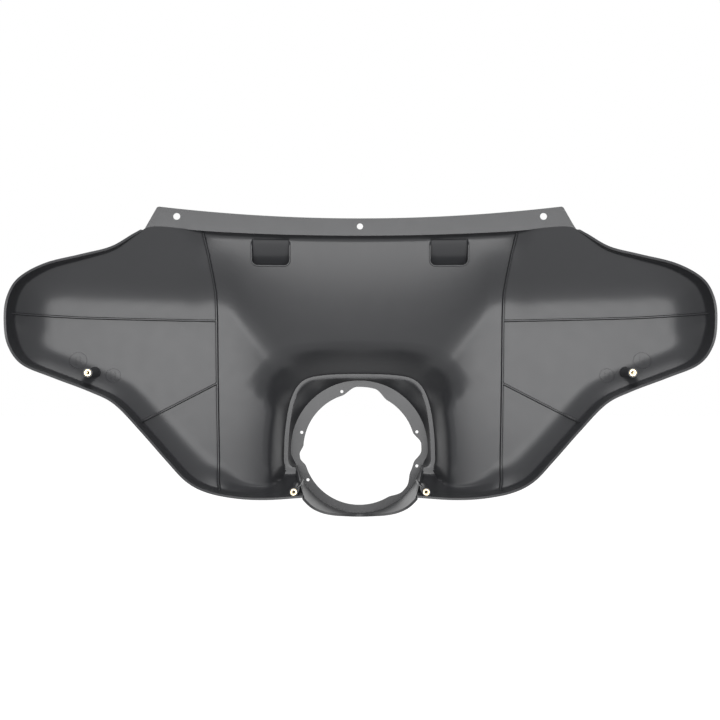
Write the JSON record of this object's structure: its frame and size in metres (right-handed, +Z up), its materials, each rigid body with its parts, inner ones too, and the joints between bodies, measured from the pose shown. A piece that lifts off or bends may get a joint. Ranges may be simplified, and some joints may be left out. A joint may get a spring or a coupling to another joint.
{
  "type": "motorcycle fairing",
  "caption": "Handlebar-mounted outer fairing shell for a touring motorcycle, open at the back, with a round lamp opening and a windshield strip.",
  "frame": {"origin": "centre of the lamp opening on the rear face of the lamp flange", "axes": "+X to the right as seen from the rider's side, +Y forward away from the rider, +Z up as it sits on the machine"},
  "size_m": [0.9, 0.253, 0.4305],
  "materials": {
    "moulding": "satin",
    "brass": "machined"
  },
  "bodies": {
    "root": {"outer_shell": "moulding", "insert_wing_left": "brass", "insert_wing_right": "brass", "insert_lower_left": "brass", "insert_lower_right": "brass"}
  },
  "joints": []
}
